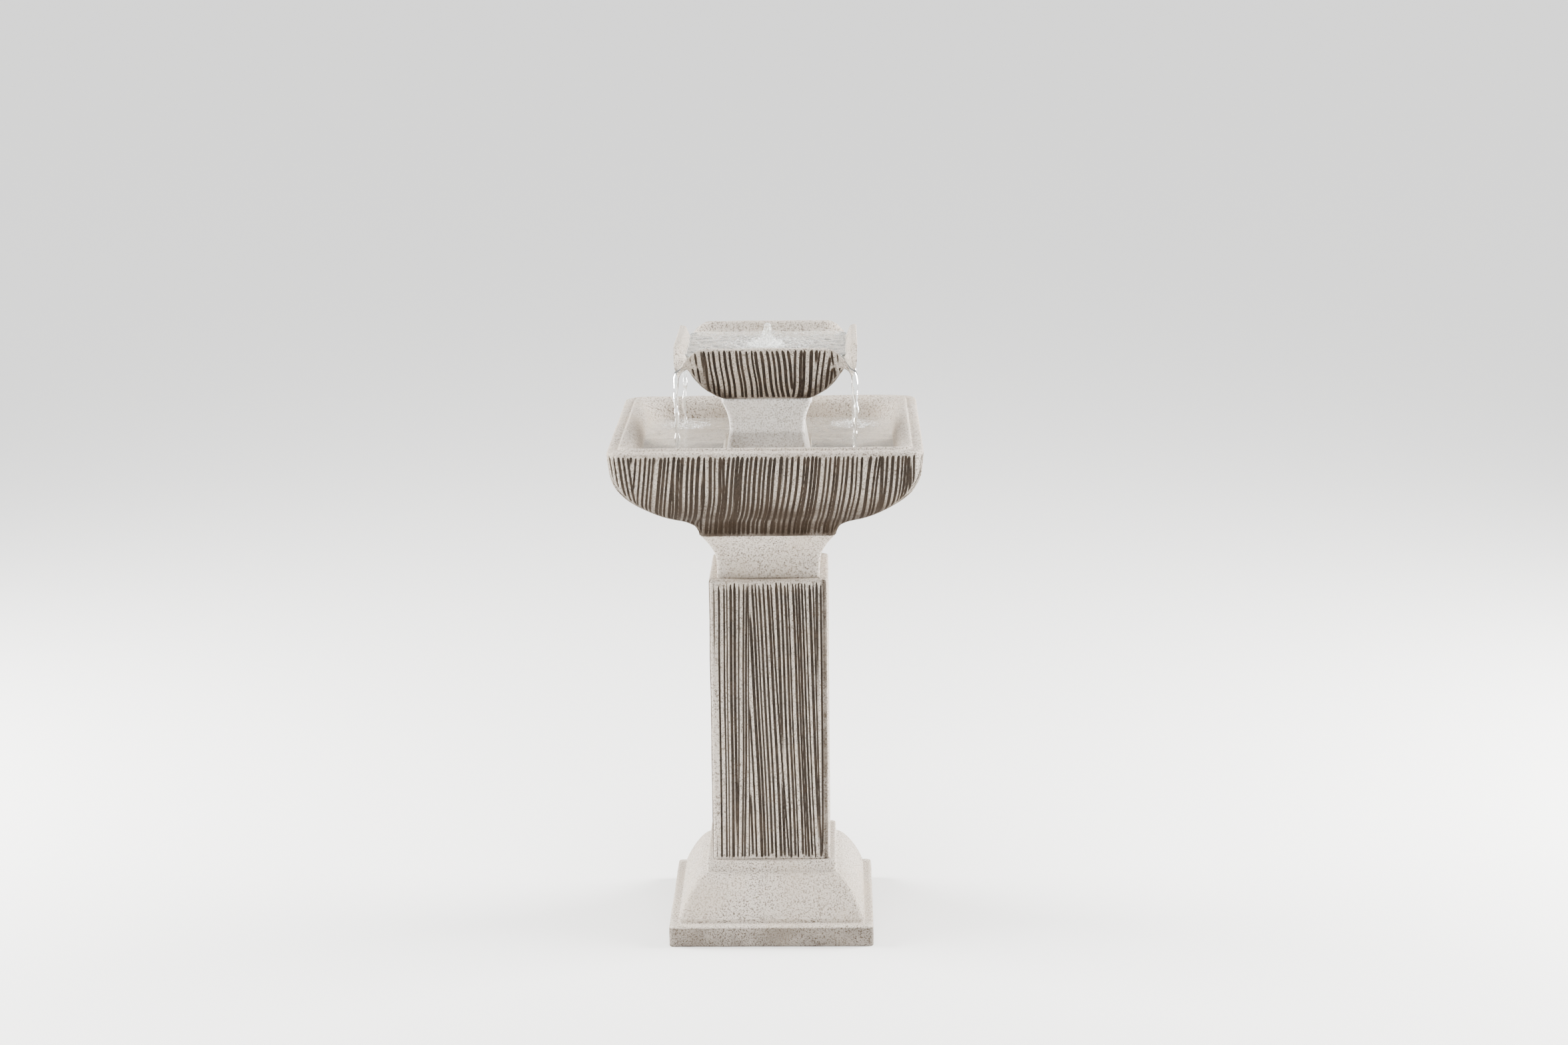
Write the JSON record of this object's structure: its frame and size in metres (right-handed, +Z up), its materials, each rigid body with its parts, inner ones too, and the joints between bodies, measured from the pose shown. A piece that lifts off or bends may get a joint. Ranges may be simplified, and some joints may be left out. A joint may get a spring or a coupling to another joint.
{
  "type": "pedestal fountain",
  "caption": "Free-standing two-tier square pedestal fountain with grooved bowls, corner spouts, hollow column and a submersible pump in the upper tier.",
  "frame": {"origin": "centre of the underside of the base", "axes": "+Z up, front towards -Y, +X to the right seen from the front"},
  "size_m": [0.3916, 0.3916, 0.7847],
  "materials": {
    "cast_stone": "fine granular cast stone with darker grooves, matte",
    "pump_plastic": "satin black moulded plastic",
    "fitting_plastic": "smooth black moulded plastic",
    "impeller_plastic": "smooth off-white moulded plastic",
    "seal_rubber": "soft black rubber",
    "drain_rubber": "soft grey rubber",
    "clear_vinyl": "clear flexible vinyl",
    "laminated_steel": "stacked electrical steel",
    "copper_wire": "enamelled copper winding",
    "ferrite": "dark sintered ferrite magnet",
    "shaft_ceramic": "polished white ceramic",
    "water": "clear moving water"
  },
  "bodies": {
    "stand": {"base_plinth": "cast_stone", "rear_cable_bush": "seal_rubber", "pedestal_column": "cast_stone", "column_neck": "cast_stone"},
    "basin": {"main_bowl": "cast_stone", "cable_grommet": "seal_rubber", "pump_housing": "pump_plastic", "motor_end_cap": "pump_plastic", "pump_cable_gland": "seal_rubber", "stator_core": "laminated_steel", "stator_coil": "copper_wire", "impeller_shaft": "shaft_ceramic", "shaft_bush_rear": "seal_rubber", "shaft_bush_front": "seal_rubber", "cover_gasket": "seal_rubber", "impeller_cover": "pump_plastic", "suction_feet": "seal_rubber"},
    "drain": {"drain_plug": "drain_rubber"},
    "rotor": {"impeller_magnet": "ferrite", "impeller_wheel": "impeller_plastic"},
    "strainer": {"strainer_cover": "pump_plastic"},
    "dial": {"flow_dial": "fitting_plastic"},
    "pillar": {"upper_pedestal": "cast_stone"},
    "dish": {"top_bowl": "cast_stone", "bulkhead_washer": "seal_rubber", "nozzle_stem": "fitting_plastic", "bulkhead_nut": "fitting_plastic", "riser_tube": "clear_vinyl"},
    "nozzle": {"bubbler_nozzle": "fitting_plastic"}
  },
  "joints": [
    {"name": "bowl_lift", "type": "slide", "parent": "stand", "child": "basin", "axis": [0, 0, 1], "range_m": [0, 0.06]},
    {"name": "drain_pull", "type": "slide", "parent": "basin", "child": "drain", "axis": [0, 0, 1], "range_m": [0, 0.045]},
    {"name": "impeller_spin", "type": "hinge", "parent": "basin", "child": "rotor", "pos_m": [0, 0, 0.606], "axis": [0, 1, 0], "continuous": true},
    {"name": "strainer_pull", "type": "slide", "parent": "basin", "child": "strainer", "axis": [0, -1, 0], "range_m": [0, 0.012]},
    {"name": "flow_turn", "type": "hinge", "parent": "strainer", "child": "dial", "pos_m": [0, -0.03, 0.606], "axis": [0, -1, 0], "range_deg": [0, 90]},
    {"name": "pedestal_lift", "type": "slide", "parent": "basin", "child": "pillar", "axis": [0, 0, 1], "range_m": [0, 0.12]},
    {"name": "top_bowl_lift", "type": "slide", "parent": "pillar", "child": "dish", "axis": [0, 0, 1], "range_m": [0, 0.1]},
    {"name": "nozzle_slide", "type": "slide", "parent": "dish", "child": "nozzle", "axis": [0, 0, 1], "range_m": [0, 0.008]}
  ]
}
